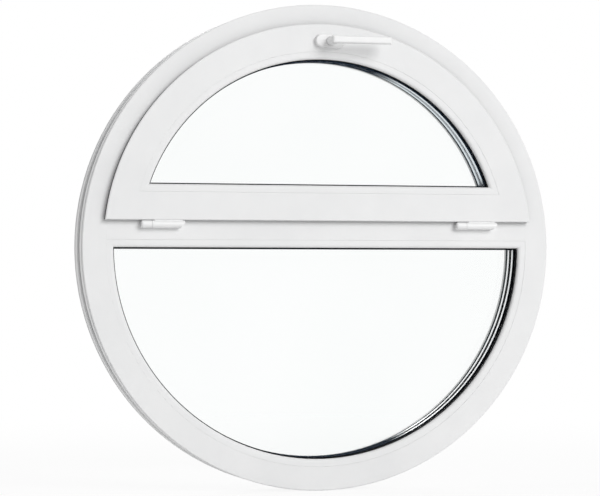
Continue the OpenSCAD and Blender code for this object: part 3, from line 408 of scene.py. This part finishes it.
# Screw heads of the lock plate, the keeps and the stay plates
plate_low, plate_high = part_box("lock_faceplate")
groove_y = (plate_low.y + plate_high.y) / 2
plate_r = plate_high.z
plate_end = math.degrees(math.asin(plate_high.x / plate_r)) - PLATE_END_GAP
plate_seats = [on_arc(plate_r, s * plate_end, groove_y) for s in (-1, 1)]
screws("lock_plate_screws", "sash", plate_seats, PLATE_SCREW_R)
keep_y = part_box("right_keep")[1].y - KEEP_EDGE_GAP
keep_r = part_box("lower_arch_bead")[1].x + KEEP_LIFT
keep_seats = [on_arc(keep_r, a, keep_y, -1.0) for a in KEEP_ANGLES]
screws("keep_screws", "frame", keep_seats, KEEP_SCREW_R)
stay_low, stay_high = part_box("right_stay_plate")
stay_r = math.hypot(stay_high.x, stay_low.z)
stay_seats = [
    on_arc(stay_r, s * math.degrees(math.acos(z / stay_r)), groove_y)
    for s in (-1, 1)
    for z in (stay_low.z + STAY_END_GAP, stay_high.z - STAY_END_GAP)
]
screws("stay_plate_screws", "sash", stay_seats, STAY_SCREW_R)


def studio_world():
    """A world that is white where it is seen, and lights the part softly."""
    world = bpy.data.worlds.new("studio")
    bpy.context.scene.world = world
    tree, output = new_tree(world, "ShaderNodeOutputWorld")
    background = tree.nodes.new("ShaderNodeBackground")
    background.inputs["Color"].default_value = WHITE
    strength = map_range(tree, any_ray(tree, *BACKGROUND_RAYS), target=(WORLD_LIGHT, 1.0))
    tree.links.new(strength, background.inputs["Strength"])
    tree.links.new(background.outputs["Background"], output.inputs["Surface"])


def floor_surface():
    """A matt floor that goes to white where it is seen, and wholly so far from the part."""
    material = bpy.data.materials.new("pale_floor")
    tree, _ = new_tree(material, "ShaderNodeOutputMaterial")
    matt = tree.nodes.new("ShaderNodeBsdfDiffuse")
    matt.inputs["Color"].default_value = FLOOR_COLOUR
    glow = tree.nodes.new("ShaderNodeEmission")
    glow.inputs["Color"].default_value = WHITE
    place = tree.nodes.new("ShaderNodeNewGeometry")
    distance = vector_step(tree, "LENGTH", place.outputs["Position"]).outputs["Value"]
    fade = map_range(tree, distance, (NEAR, FAR), (NEAR_GLOW, 1.0), "SMOOTHSTEP")
    share = calculate(tree, "MULTIPLY", any_ray(tree, *BACKGROUND_RAYS), fade)
    mix_shaders(tree, share, matt.outputs["BSDF"], glow.outputs["Emission"])
    return material


def area_light(name, place, size, power):
    """A square soft light aimed at the window's centre."""
    lamp = bpy.data.lights.new(name, "AREA")
    lamp.shape = "SQUARE"
    lamp.size = size
    lamp.energy = power
    holder = bpy.data.objects.new(name, lamp)
    holder.location = place
    holder.rotation_euler = (-Vector(place)).to_track_quat("-Z", "Y").to_euler()
    bpy.context.scene.collection.objects.link(holder)


# World, floor and lights
studio_world()
floor_mesh = bpy.data.meshes.new("floor")
corners = ((-1, -1), (1, -1), (1, 1), (-1, 1))
floor_mesh.from_pydata(
    [(x * FLOOR_HALF, y * FLOOR_HALF, FLOOR_Z) for x, y in corners], [], [(0, 1, 2, 3)]
)
floor = bpy.data.objects.new("floor", floor_mesh)
bpy.context.scene.collection.objects.link(floor)
floor_mesh.materials.append(floor_surface())
for name, (place, size, power) in LIGHTS.items():
    area_light(name, place, size, power)

# Camera
azimuth = math.radians(AZIMUTH)
place = Vector((math.sin(azimuth) * DISTANCE, -math.cos(azimuth) * DISTANCE, CAMERA_Z))
right = Vector((math.cos(azimuth), math.sin(azimuth), 0.0))
scale = DISTANCE / FOCAL_PX
aim = right * (PICTURE_W / 2 - CENTRE_PX[0]) * scale
aim.z = (CENTRE_PX[1] - PICTURE_H / 2) * scale
camera_data = bpy.data.cameras.new("camera")
camera_data.sensor_width = SENSOR_W
camera_data.lens = FOCAL_PX / PICTURE_W * SENSOR_W
camera_data.clip_end = CLIP_END
camera = bpy.data.objects.new("camera", camera_data)
camera.location = place
camera.rotation_euler = (aim - place).to_track_quat("-Z", "Y").to_euler()
bpy.context.scene.collection.objects.link(camera)
bpy.context.scene.camera = camera
bpy.context.scene.view_settings.view_transform = "Standard"
